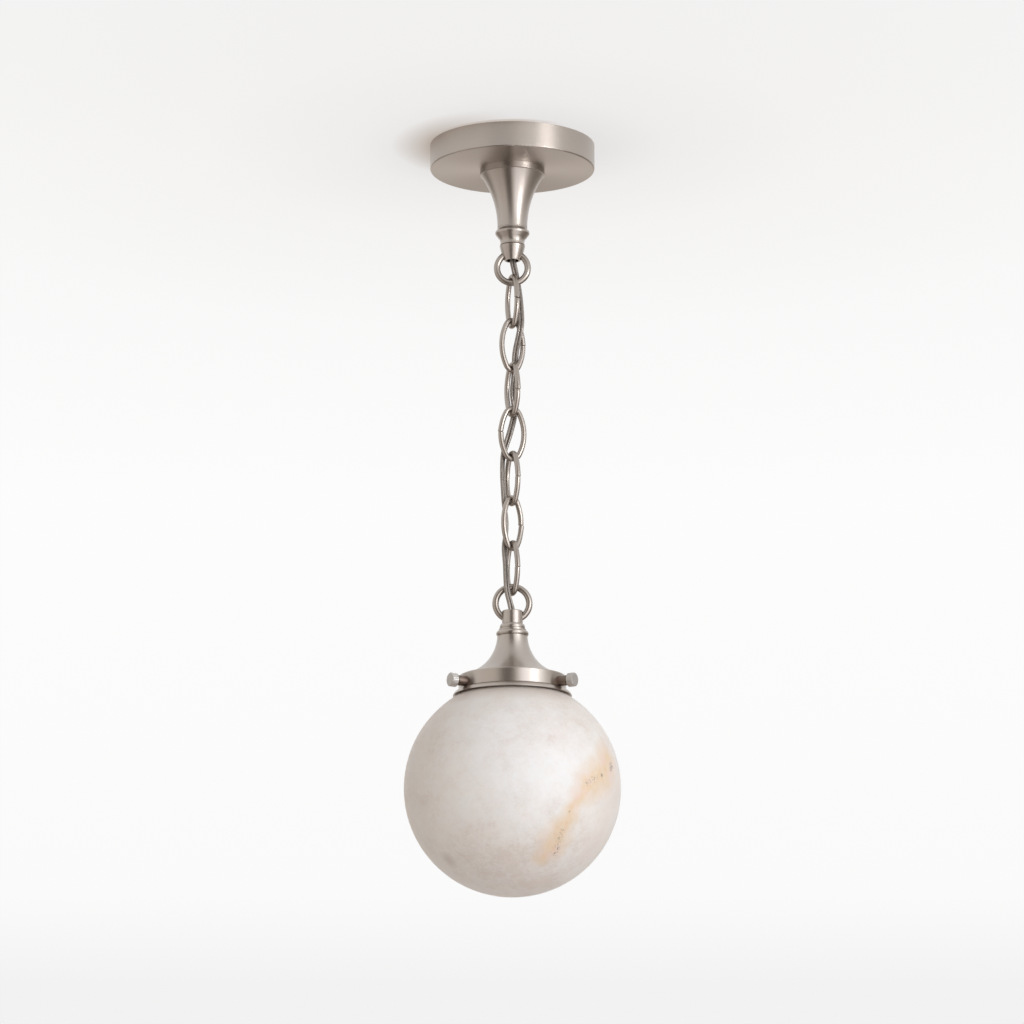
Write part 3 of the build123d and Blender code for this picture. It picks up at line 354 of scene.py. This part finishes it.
def alabaster(name):
    """White stone with soft clouds, fine crystal grain and one tan vein with dark specks."""
    made, nodes, shader = material(name)
    place = nodes.position()
    bent = warped(nodes, place, 60.0, 0.009)
    ragged = warped(nodes, place, 95.0, 0.009)
    patches = nodes.noise(bent, 62.0, 5.0, 0.65)
    grain = nodes.noise(place, 900.0, 3.0, 0.7)
    body = stone_body(nodes, place, bent, patches, grain)
    body = with_vein(nodes, body, place, ragged)
    body = with_specks(nodes, body, place, bent, ragged)
    nodes.put(shader, {
        "Base Color": body,
        "Roughness": nodes.span(patches, 0.3, 0.7, 0.36, 0.50),
        "Subsurface Weight": 0.35,
        "Subsurface Radius": (1.0, 0.75, 0.60),
        "Subsurface Scale": 0.012,
        "Specular IOR Level": 0.35,
        "Normal": nodes.bump(grain, 0.10, 0.0001),
    })
    return made


def cord_material(name):
    """Semi-clear insulation over silvery strands."""
    made, nodes, shader = material(name)
    stretched = nodes.vector("MULTIPLY", nodes.position(), (1, 1, 0.12))
    strands = nodes.noise(stretched, 1600.0, 3.0, 0.6)
    cloud = nodes.noise(nodes.position(), 70.0)
    tone = nodes.weighted((strands, 0.6), (cloud, 0.4))
    nodes.put(shader, {
        "Base Color": nodes.ramp(tone, [(0.35, (0.22, 0.19, 0.165)), (0.62, (0.36, 0.32, 0.285))]),
        "Metallic": 0.35,
        "Roughness": nodes.span(cloud, 0.3, 0.7, 0.26, 0.36),
        "Coat Weight": 0.5,
        "Coat Roughness": 0.2,
        "Normal": nodes.bump(strands, 0.15, 0.00006),
    })
    return made


def frosted_glass(name):
    """Bulb glass with a fine frosting."""
    made, nodes, shader = material(name)
    value = nodes.noise(nodes.position(), 300.0, 3.0, 0.6)
    nodes.put(shader, {
        "Base Color": nodes.ramp(value, [(0.3, (0.90, 0.90, 0.88)), (0.7, (0.97, 0.97, 0.95))]),
        "Roughness": nodes.span(value, 0.3, 0.7, 0.25, 0.40),
        "Transmission Weight": 0.6,
        "IOR": 1.45,
    })
    return made


satin = nickel("satin_nickel_turned")
satin_wire = nickel("satin_nickel_wire", turned=False, colour=NICKEL_WIRE, roughness=0.29)
satin_screw = nickel("satin_nickel_screw", turned=False, colour=NICKEL_SCREW, roughness=0.42)
# Painted reflection: the gallery's bosses are painted dark brown for the dark surroundings that their
# metal reflects
boss_painted_dark = plain_metal("boss_painted_dark_reflection", (0.24, 0.185, 0.155), 0.40)
zinc = plain_metal("zinc_steel", (0.62, 0.62, 0.60), 0.30)
brass = plain_metal("brass_parts", (0.72, 0.52, 0.25), 0.28)
stone = alabaster("alabaster_stone")
rubber = plain_surface("rubber_ring", (0.30, 0.25, 0.215), 0.70)
soft_white = plain_surface("soft_tip_nylon", (0.75, 0.73, 0.68), 0.50)
porcelain = plain_surface("glazed_porcelain", (0.86, 0.85, 0.81), 0.14, 120.0, 0.03, 0.03)
black_lead = plain_surface("black_lead", (0.03, 0.03, 0.03), 0.40)
green_lead = plain_surface("green_lead", (0.05, 0.26, 0.08), 0.42)
green_metal = plain_metal("green_screw", (0.08, 0.28, 0.10), 0.34)
orange_cap = plain_surface("orange_connector", (0.78, 0.24, 0.04), 0.45)
black_glass = plain_surface("black_base_glass", (0.02, 0.02, 0.02), 0.12)
glass = frosted_glass("frosted_bulb")
cord_skin = cord_material("silver_cord")

NODE_MATERIALS = {
    satin: ("canopy", "trumpet_stem", "stem_bead", "upper_loop_holder", "lower_loop_holder",
            "head_collar", "bell_cover", "gallery"),
    satin_screw: ("thumb_screw_1", "thumb_screw_2", "thumb_screw_3"),
    boss_painted_dark: ("gallery_bosses",),
    zinc: ("crossbar", "canopy_nipple", "canopy_lock_nut", "canopy_lock_washer", "head_nipple",
           "gallery_washer", "gallery_lock_nut", "socket_mount", "socket_mount_screws"),
    brass: ("socket_shell", "socket_contact", "terminal_screws", "bulb_contact", "bulb_base"),
    stone: ("alabaster_globe",),
    rubber: ("neck_gasket",),
    soft_white: ("screw_tip_1", "screw_tip_2", "screw_tip_3"),
    porcelain: ("socket_body",),
    black_lead: ("supply_leads", "socket_leads"),
    green_lead: ("ground_wire",),
    green_metal: ("ground_screw",),
    orange_cap: ("wire_connectors",),
    black_glass: ("bulb_insulator",),
    glass: ("bulb_glass", "bulb_stem"),
    cord_skin: ("canopy_cord", "head_cord", "chain_cord"),
    satin_wire: ("upper_ring", "lower_ring", *[f"chain_link_{n + 1}" for n in range(LINK_COUNT)]),
}
for made, names in NODE_MATERIALS.items():
    for name in names:
        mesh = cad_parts[name].data
        mesh.materials.clear()
        mesh.materials.append(made)


def mesh_object(name, points, faces, made):
    """A mesh from points in metres."""
    mesh = bpy.data.meshes.new(name)
    mesh.from_pydata(points, [], faces)
    mesh.materials.append(made)
    item = bpy.data.objects.new(name, mesh)
    scene.collection.objects.link(item)
    return item


def swept(name, rings, made):
    """A smooth tube through rings of points. The flat cap at each end has points of its own."""
    count = len(rings[0])
    points = [p for ring in rings for p in ring]
    faces = []
    for k in range(len(rings) - 1):
        for i in range(count):
            j = (i + 1) % count
            faces.append((k * count + i, k * count + j, (k + 1) * count + j, (k + 1) * count + i))
    for ring, flip in ((rings[0], True), (rings[-1], False)):
        start = len(points)
        points.extend(ring)
        loop = list(range(start, start + count))
        faces.append(tuple(reversed(loop)) if flip else tuple(loop))
    item = mesh_object(name, [tuple(float(c) * MM for c in p) for p in points], faces, made)
    item.data.polygons.foreach_set("use_smooth", [len(face) == 4 for face in faces])
    item.data.update()
    return item


# Chain links, each one wire bent round and butted near the middle of one side
END_CENTRE = LINK_MEAN_LENGTH / 2 - LINK_END_RADIUS
SIDE_RADIUS = (END_CENTRE ** 2 + LINK_HALF_WIDTH ** 2 - LINK_END_RADIUS ** 2) / (
    2 * (LINK_HALF_WIDTH - LINK_END_RADIUS))
SIDE_CENTRE = SIDE_RADIUS - LINK_HALF_WIDTH
SIDE_HALF_ANGLE = math.atan2(END_CENTRE, SIDE_CENTRE)
LINE_STEP = 0.55
# For each link: the side of its seam, the seam's height over the middle, the gap between the wire's
# ends, and how far the upper and the lower end stand aside, outward and towards the front.
SEAMS = (
    (1, 0.6, 0.60, (0.50, 0.45), (-0.30, -0.10)),
    (1, 0.5, 0.30, (0.10, -0.05), (-0.10, 0.05)),
    (1, -1.6, 0.45, (0.10, -0.20), (-0.35, 0.10)),
    (-1, 1.2, 0.40, (0.35, -0.10), (0.05, 0.15)),
    (1, -0.3, 0.35, (0.20, -0.10), (0.05, 0.15)),
    (1, -0.5, 0.40, (-0.20, -0.10), (0.30, 0.10)),
    (1, -0.8, 0.35, (0.22, -0.10), (-0.05, 0.10)),
)
# How far along the wire from its end it bends aside, and the bevel round the end
SEAM_REACH = 7.0
SEAM_BEVEL = 0.22
# The wire's rings, by their way from its end, and the even ones between
RINGS_AT_END = np.array([0.0, 0.08, SEAM_BEVEL, 0.5, 1.0])
FIRST_EVEN_RING = 1.6
EVEN_RINGS = 190
WIRE_SIDES = 28
TANGENT_STEP = 0.05


def link_line():
    """Centre line of a link from the middle of its right side, anticlockwise, as closely spaced points."""
    points = []
    arcs = (
        ((-SIDE_CENTRE, 0), SIDE_RADIUS, 0, SIDE_HALF_ANGLE),
        ((0, END_CENTRE), LINK_END_RADIUS, SIDE_HALF_ANGLE, math.pi - SIDE_HALF_ANGLE),
        ((SIDE_CENTRE, 0), SIDE_RADIUS, math.pi - SIDE_HALF_ANGLE, math.pi + SIDE_HALF_ANGLE),
        ((0, -END_CENTRE), LINK_END_RADIUS, math.pi + SIDE_HALF_ANGLE, 2 * math.pi - SIDE_HALF_ANGLE),
        ((-SIDE_CENTRE, 0), SIDE_RADIUS, -SIDE_HALF_ANGLE, 0),
    )
    for centre, radius, start, end in arcs:
        steps = max(6, int(abs(end - start) * radius / LINE_STEP))
        for t in np.linspace(start, end, steps, endpoint=False):
            points.append((centre[0] + radius * math.cos(t), centre[1] + radius * math.sin(t)))
    points.append((LINK_HALF_WIDTH, 0.0))
    return np.array(points)


def butted_link(number):
    """One link of round wire, whose two ends stand a little aside of each other at the seam."""
    side, height, gap, upper, lower = SEAMS[number]
    line = link_line()
    steps = np.linalg.norm(np.diff(line, axis=0), axis=1)
    along = np.concatenate([[0.0], np.cumsum(steps)])
    total = along[-1]
    length = total - gap
    stations = np.concatenate([
        RINGS_AT_END,
        np.linspace(FIRST_EVEN_RING, length - FIRST_EVEN_RING, EVEN_RINGS),
        (length - RINGS_AT_END)[::-1],
    ])

    def place(way):
        way %= total
        return np.array([np.interp(way, along, line[:, 0]), np.interp(way, along, line[:, 1])])

    azimuth = math.radians(LINK_AZIMUTHS[number])
    wide = np.array([math.cos(azimuth), math.sin(azimuth), 0.0])
    front = np.array([math.sin(azimuth), -math.cos(azimuth), 0.0])
    if front[1] > 0:
        front = -front
    up = np.array([0.0, 0.0, 1.0])
    centre = np.array([0.0, 0.0, FIRST_LINK_Z - number * LINK_PITCH])
    rings = []
    for station in stations:
        here = station + height + gap / 2
        x, z = place(here)
        tangent = place(here + TANGENT_STEP) - (x, z)
        tangent /= np.linalg.norm(tangent)
        outward = side * tangent[1] * wide - tangent[0] * up
        point = centre + side * x * wide + z * up
        for way, (out, forward) in ((station, upper), (length - station, lower)):
            share = max(0.0, 1 - way / SEAM_REACH) ** 2
            point = point + share * (out * outward + forward * front)
        end_distance = min(station, length - station)
        radius = LINK_WIRE_RADIUS - SEAM_BEVEL * max(0.0, 1 - end_distance / SEAM_BEVEL)
        turn = np.linspace(0, 2 * math.pi, WIRE_SIDES, endpoint=False)
        rings.append([point + radius * (math.cos(t) * outward + math.sin(t) * front) for t in turn])
    item = swept(f"chain_link_{number + 1}_wire", rings, satin_wire)
    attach(item, f"link_{number + 1}")
    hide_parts(f"chain_link_{number + 1}")


for number in range(LINK_COUNT):
    butted_link(number)


# The flat cord between the two threaded tubes: its route's points, in millimetres. Along the chain
# a point's height is its place in links below the first link's middle.
CHAIN_WAY = (
    (1.9, 3.9, -0.73), (4.0, 5.3, -0.43), (5.6, 3.2, -0.10), (6.5, 0.1, 0.24), (6.8, -2.0, 0.54),
    (4.8, -1.2, 0.84), (2.3, 3.3, 1.13), (1.9, 6.1, 1.40), (1.7, 7.2, 1.69), (0.2, 5.2, 2.02),
    (2.1, 6.9, 2.36), (0.9, 6.7, 2.63), (-2.3, 5.0, 2.99), (-5.4, 4.3, 3.26), (-7.5, 3.0, 3.52),
    (-7.7, 1.6, 3.93), (-7.0, 2.0, 4.28), (-6.5, 2.2, 4.56), (-4.4, 0.4, 4.93), (-4.9, 1.4, 5.25),
    (-6.5, 0.7, 5.53), (-5.0, -1.9, 5.91), (-4.7, -4.2, 6.25), (-4.0, -5.0, 6.56), (-1.9, -5.0, 6.78),
)
CORD_ROUTE = [
    (0, 0, CORD_TOP_Z), (0, 0, -78.4), (0, 2.8, -82.5), (0, 4.5, -86.2), (0.2, 2.9, -91.4),
    *[(x, y, FIRST_LINK_Z - place * LINK_PITCH) for x, y, place in CHAIN_WAY],
    (-0.1, -4.4, -369.0), (0, -4.5, -375.3), (0, -2.2, -378.7), (0, -0.7, -380.9),
    (0, 0, -383.2), (0, 0, CORD_BOTTOM_Z),
]
STRAND_RADIUS = 1.3
STRAND_OFFSET = 1.2
# Half the arc that each strand shows outside the groove, and its points
STRAND_HALF_ARC = math.radians(158)
STRAND_POINTS = 13
ROUTE_RESOLUTION = 14
# How far the flat side has turned away from the front, in degrees, by height
CORD_TURN = ((-76, 0), (-225, 0), (-250, 62), (-305, 70), (-330, 40), (-362, 35), (-374, 0), (-386, 0))


def smooth_line(points):
    """Points along one NURBS spline that has the route's points as its control points."""
    curve = bpy.data.curves.new("route", "CURVE")
    curve.dimensions = "3D"
    curve.resolution_u = ROUTE_RESOLUTION
    spline = curve.splines.new("NURBS")
    spline.points.add(len(points) - 1)
    for item, point in zip(spline.points, points):
        item.co = (*metres(point), 1.0)
    spline.order_u = 3
    spline.use_endpoint_u = True
    holder = bpy.data.objects.new("route", curve)
    mesh = bpy.data.meshes.new_from_object(holder)
    line = np.array([tuple(v.co) for v in mesh.vertices]) / MM
    bpy.data.objects.remove(holder)
    bpy.data.curves.remove(curve)
    bpy.data.meshes.remove(mesh)
    return line


def cord_outline():
    """Outline of the flat cord's section: two round strands with a groove between them."""
    return [(sign * (STRAND_OFFSET + STRAND_RADIUS * math.cos(t)), sign * STRAND_RADIUS * math.sin(t))
            for sign in (1, -1)
            for t in np.linspace(-STRAND_HALF_ARC, STRAND_HALF_ARC, STRAND_POINTS)]


def cord_rings(line):
    """The section's outline at each point of the line, turned as the cord twists."""
    tangents = np.gradient(line, axis=0)
    tangents /= np.linalg.norm(tangents, axis=1)[:, None]
    depths = [-z for z, _ in CORD_TURN]
    turns = [turn for _, turn in CORD_TURN]
    outline = cord_outline()
    rings = []
    for point, tangent in zip(line, tangents):
        angle = math.radians(np.interp(-point[2], depths, turns))
        wide = np.array([math.cos(angle), math.sin(angle), 0.0])
        wide -= tangent * (wide @ tangent)
        wide /= np.linalg.norm(wide)
        thick = np.cross(tangent, wide)
        rings.append([point + u * wide + v * thick for u, v in outline])
    return rings


def cord_segments():
    """The cord in one piece for each joint that it crosses."""
    line = smooth_line(CORD_ROUTE)
    rings = cord_rings(line)
    middles = [FIRST_LINK_Z - n * LINK_PITCH for n in range(LINK_COUNT)]
    cuts = [CORD_TOP_Z, UPPER_RING_Z, *middles, LOWER_RING_Z, CORD_BOTTOM_Z]
    bends = [UPPER_RING_HINGE_Z, UPPER_RING_Z - UPPER_RING_RADIUS,
             *[z - LINK_MEAN_LENGTH / 2 for z in middles], LAMP_HEAD_HINGE_Z]
    # How far above and below each joint a blend would reach
    reaches = [6.0, 7.5, *[9.0] * LINK_COUNT, 6.0]
    for k, (bend, reach) in enumerate(zip(bends, reaches)):
        first, last = (int(np.argmin(np.abs(line[:, 2] - cut))) for cut in cuts[k:k + 2])
        piece = swept(f"chain_cord_part_{k + 1}", rings[first:last + 1], cord_skin)
        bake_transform(piece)
        if k == 0:
            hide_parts("chain_cord")


cord_segments()


# The ceiling, in metres: just clear of the canopy's rim, and from just past the picture's top edge
# to far behind the lamp
CEILING_Z = 0.0002
CEILING_HALF_WIDTH = 1.6
CEILING_FRONT, CEILING_BACK = -0.42, 7.0
CEILING_TONES = [(0.0, (0.925, 0.922, 0.92)), (0.08, (0.965, 0.963, 0.96)), (0.30, (0.99, 0.99, 0.99)),
                 (0.80, (0.97, 0.97, 0.97)), (1.0, (0.90, 0.90, 0.90))]
# The colour of the shadows painted on the ceiling beside the canopy
CEILING_PAINTED_SHADE = (0.58, 0.50, 0.435)


def ceiling_material():
    """Pale ceiling: partly lit, so that it keeps the lamp's shadow, with the canopy's shadow and contact
    line also painted on, and clear from above.
    """
    made = bpy.data.materials.new("pale_ceiling")
    made.use_nodes = True
    nodes = Nodes(made.node_tree)
    place = nodes.position()
    x, depth, _ = nodes.axes(place)
    pale = nodes.ramp(nodes.span(depth, -0.4, 5.0), CEILING_TONES)
    away = nodes.distance(place, (0.0, 0.0, 0.0))
    rim = CANOPY_RADIUS * MM
    # Painted shadow: the lamps stand to the right, so the canopy's shadow is painted on the ceiling to its
    # left
    beside = nodes.math("MULTIPLY", nodes.span(x, 0.0, -0.062),
                        nodes.span(away, rim + 0.0305, rim + 0.0005))
    # Painted contact shadow: a fine dark line on the ceiling where the canopy meets it
    joint = nodes.math("MULTIPLY", nodes.span(x, 0.040, 0.005),
                       nodes.span(away, rim + 0.0070, rim + 0.0027, 0.0, 0.85))
    shaded = nodes.mix(nodes.math("MAXIMUM", beside, joint), pale, CEILING_PAINTED_SHADE)
    lit = nodes.add("BsdfDiffuse", {"Color": pale})
    glow = nodes.add("Emission", {"Color": shaded, "Strength": 1.0})
    path = nodes.add("LightPath").outputs
    seen = nodes.strongest([path["Is Camera Ray"], path["Is Glossy Ray"], path["Is Transmission Ray"]])
    share = nodes.ramp(nodes.span(away, 0.0, 1.2),
                       [(0.055, 0.62), (0.10, 0.76), (0.20, 0.86), (0.45, 0.94), (1.0, 0.97)])
    glowing = nodes.math("MULTIPLY", seen, share)
    below = nodes.add("MixShader", {0: glowing, 1: lit.outputs[0], 2: glow.outputs[0]})
    clear = nodes.add("BsdfTransparent")
    back = nodes.add("NewGeometry").outputs["Backfacing"]
    both = nodes.add("MixShader", {0: back, 1: below.outputs[0], 2: clear.outputs[0]})
    nodes.add("OutputMaterial", {"Surface": both.outputs[0]})
    return made


def make_ceiling():
    half = CEILING_HALF_WIDTH
    corners = [(-half, CEILING_BACK, CEILING_Z), (half, CEILING_BACK, CEILING_Z),
               (half, CEILING_FRONT, CEILING_Z), (-half, CEILING_FRONT, CEILING_Z)]
    mesh_object("ceiling", corners, [(0, 1, 2, 3)], ceiling_material())


make_ceiling()


# The studio's brightness by direction round the lamp, in degrees right of the front
STUDIO_SIDES = (
    (-180, 0.88), (-160, 0.79), (-140, 0.50), (-126, 0.30), (-114, 0.36), (-102, 0.74), (-90, 0.90),
    (-70, 0.82), (-50, 0.80), (-40, 0.84), (-32, 0.66), (-26, 0.27), (-19, 0.15), (-5, 0.14),
    (1, 0.26), (8, 0.80), (14, 1.40), (22, 1.95), (32, 2.08), (56, 2.08), (66, 1.78), (75, 1.12),
    (84, 0.72), (96, 0.46), (112, 0.30), (140, 0.32), (154, 0.50), (168, 0.79), (180, 0.88),
)
# Its share of that by height, from straight below to straight above
STUDIO_LEVELS = [(0.0, (0.46, 0.43, 0.415)), (0.25, (0.75, 0.725, 0.72)), (0.5, (1.0, 1.0, 1.0)),
                 (0.72, (1.0, 1.0, 1.0)), (0.86, (0.80, 0.80, 0.80))]
WARM = (1.09, 1.0, 0.90)
CLEAR = (0.98, 1.0, 1.03)
# How far the pattern lies further to the right higher up
STUDIO_LEAN = 0.24


def tinted(value):
    """Dark parts of the room are warm, its lamps and windows clear."""
    share = min(max(value - 0.5, 0.0) / 1.2, 1.0)
    return tuple(value * (warm + (clear - warm) * share) for warm, clear in zip(WARM, CLEAR))


def make_world():
    """Soft studio surroundings: light and dark areas by direction, plain pale behind the object."""
    world = bpy.data.worlds.new("studio")
    scene.world = world
    world.use_nodes = True
    nodes = Nodes(world.node_tree)
    x, y, z = nodes.axes(nodes.add("TexCoord").outputs["Generated"])
    azimuth = nodes.math("ARCTAN2", x, nodes.math("MULTIPLY", y, -1.0))
    leaning = nodes.math("SUBTRACT", azimuth, nodes.math("MULTIPLY", z, STUDIO_LEAN))
    sides = nodes.ramp(nodes.span(leaning, -math.pi, math.pi),
                       [((degrees + 180.0) / 360.0, tinted(value)) for degrees, value in STUDIO_SIDES])
    levels = nodes.ramp(nodes.span(z, -1.0, 1.0), STUDIO_LEVELS)
    studio = nodes.add("Background", {"Color": nodes.mix(1.0, sides, levels, "MULTIPLY"), "Strength": 1.0})
    plain = nodes.add("Background", {"Color": (0.93, 0.93, 0.93, 1.0), "Strength": 1.0})
    camera_ray = nodes.add("LightPath").outputs["Is Camera Ray"]
    both = nodes.add("MixShader", {0: camera_ray, 1: studio.outputs[0], 2: plain.outputs[0]})
    nodes.add("OutputWorld", {"Surface": both.outputs[0]})


make_world()

LAMP_COLOUR = (1.0, 0.99, 0.98)


def area_light(name, place, target, size, power, spread=math.pi):
    light = bpy.data.lights.new(name, "AREA")
    light.shape = "RECTANGLE"
    light.size, light.size_y = size
    light.energy = power
    light.color = LAMP_COLOUR
    light.spread = spread
    item = bpy.data.objects.new(name, light)
    item.location = place
    item.rotation_euler = (Vector(target) - Vector(place)).to_track_quat("-Z", "Y").to_euler()
    scene.collection.objects.link(item)


area_light("key_right_front", (1.50, -1.38, -0.13), (0.0, 0.0, -0.25), (0.6, 0.22), 2.5)
# A softbox with a narrow beam, which reaches the canopy alone
area_light("canopy_softbox", (1.0, -0.90, -0.12), (0.0, 0.0, -0.01), (0.70, 0.16), 0.18, math.radians(36))

# The photograph's camera, from below: its focal length in pixels of a picture 1024 wide
FOCAL_PIXELS = 4800.0
PICTURE_PIXELS = 1024.0
SENSOR_WIDTH = 36.0
CAMERA_PLACE = (-0.0003, -3.5550, -1.1133)
CAMERA_TILT = 13.03

camera_data = bpy.data.cameras.new("camera")
camera_data.sensor_width = SENSOR_WIDTH
camera_data.lens = FOCAL_PIXELS / PICTURE_PIXELS * SENSOR_WIDTH
camera_data.clip_end = 50.0
camera = bpy.data.objects.new("camera", camera_data)
camera.location = CAMERA_PLACE
camera.rotation_euler = (math.radians(90.0 + CAMERA_TILT), 0.0, 0.0)
scene.collection.objects.link(camera)
scene.camera = camera
scene.view_settings.view_transform = "Standard"
